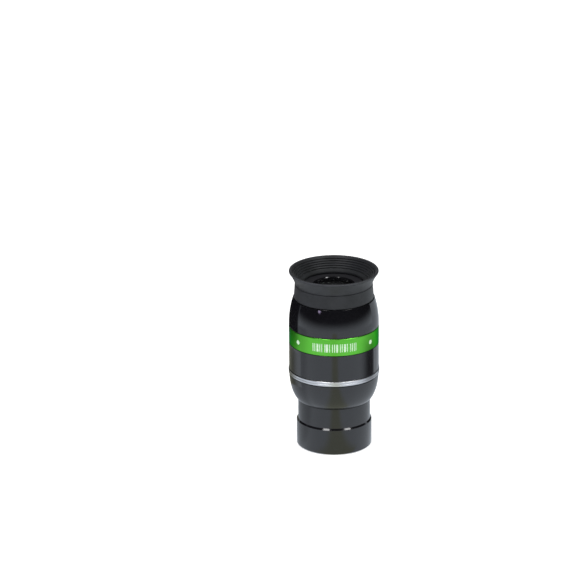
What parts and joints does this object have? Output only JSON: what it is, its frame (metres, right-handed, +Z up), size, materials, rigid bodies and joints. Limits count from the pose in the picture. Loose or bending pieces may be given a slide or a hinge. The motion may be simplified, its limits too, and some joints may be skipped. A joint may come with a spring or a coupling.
{
  "type": "spectroscope",
  "caption": "Direct-vision star spectroscope in eyepiece form: 1.25-inch nose with slit, bowl-shaped body with a bright trim ring and a green band, and a fold-down rubber eyecup.",
  "frame": {"origin": "centre of the nose's flat bottom face, which is also the bottom centre of the whole object", "axes": "+Z up the optical axis from the nose to the eyecup, -Y towards the marked front of the green band, +X to its right"},
  "size_m": [0.0384, 0.0384, 0.0775],
  "materials": {
    "gloss_black": "gloss black anodised",
    "matte_black": "matte black anodised",
    "green_anodised": "satin green anodised",
    "polished_ring": "polished",
    "slit_steel": "blackened",
    "screw_steel": "plain",
    "brass": "plain",
    "crown_glass": "coated crown glass",
    "flint_glass": "dense flint glass",
    "rubber": "matte moulded"
  },
  "bodies": {
    "housing": {"lower_shell": "gloss_black", "trim_ring": "polished_ring", "middle_sleeve": "gloss_black", "green_band": "green_anodised", "head_shell": "gloss_black", "collimator_cell": "matte_black", "collimator_crown": "crown_glass", "collimator_flint": "flint_glass", "collimator_retainer": "matte_black", "prism_cage": "matte_black", "prism_crown_lower": "crown_glass", "prism_flint": "flint_glass", "prism_crown_upper": "crown_glass", "prism_pressure_plate": "brass", "prism_screw_lower": "screw_steel", "prism_screw_upper": "screw_steel", "prism_clamp_ring": "matte_black", "eye_lens_cell": "matte_black", "cylinder_lens": "crown_glass", "lens_spacer": "matte_black", "eye_lens": "crown_glass", "eye_plate": "matte_black"},
    "nose": {"nose_barrel": "gloss_black", "slit_disc": "matte_black", "slit_jaw_left": "slit_steel", "slit_jaw_right": "slit_steel", "slit_screw_left": "screw_steel", "slit_screw_right": "screw_steel", "slit_retainer": "matte_black"},
    "eyecup": {"eyecup_sleeve": "rubber"},
    "eyecup_skirt": {"eyecup_skirt": "rubber"}
  },
  "joints": [
    {"name": "nose_unscrew", "type": "slide", "parent": "housing", "child": "nose", "axis": [0, 0, -1], "range_m": [0, 0.006]},
    {"name": "eyecup_pull", "type": "slide", "parent": "housing", "child": "eyecup", "axis": [0, 0, 1], "range_m": [0, 0.0075]},
    {"name": "skirt_fold", "type": "slide", "parent": "eyecup", "child": "eyecup_skirt", "axis": [0, 0, -1], "range_m": [0, 0.0035], "deforming": ["eyecup_skirt"]}
  ]
}
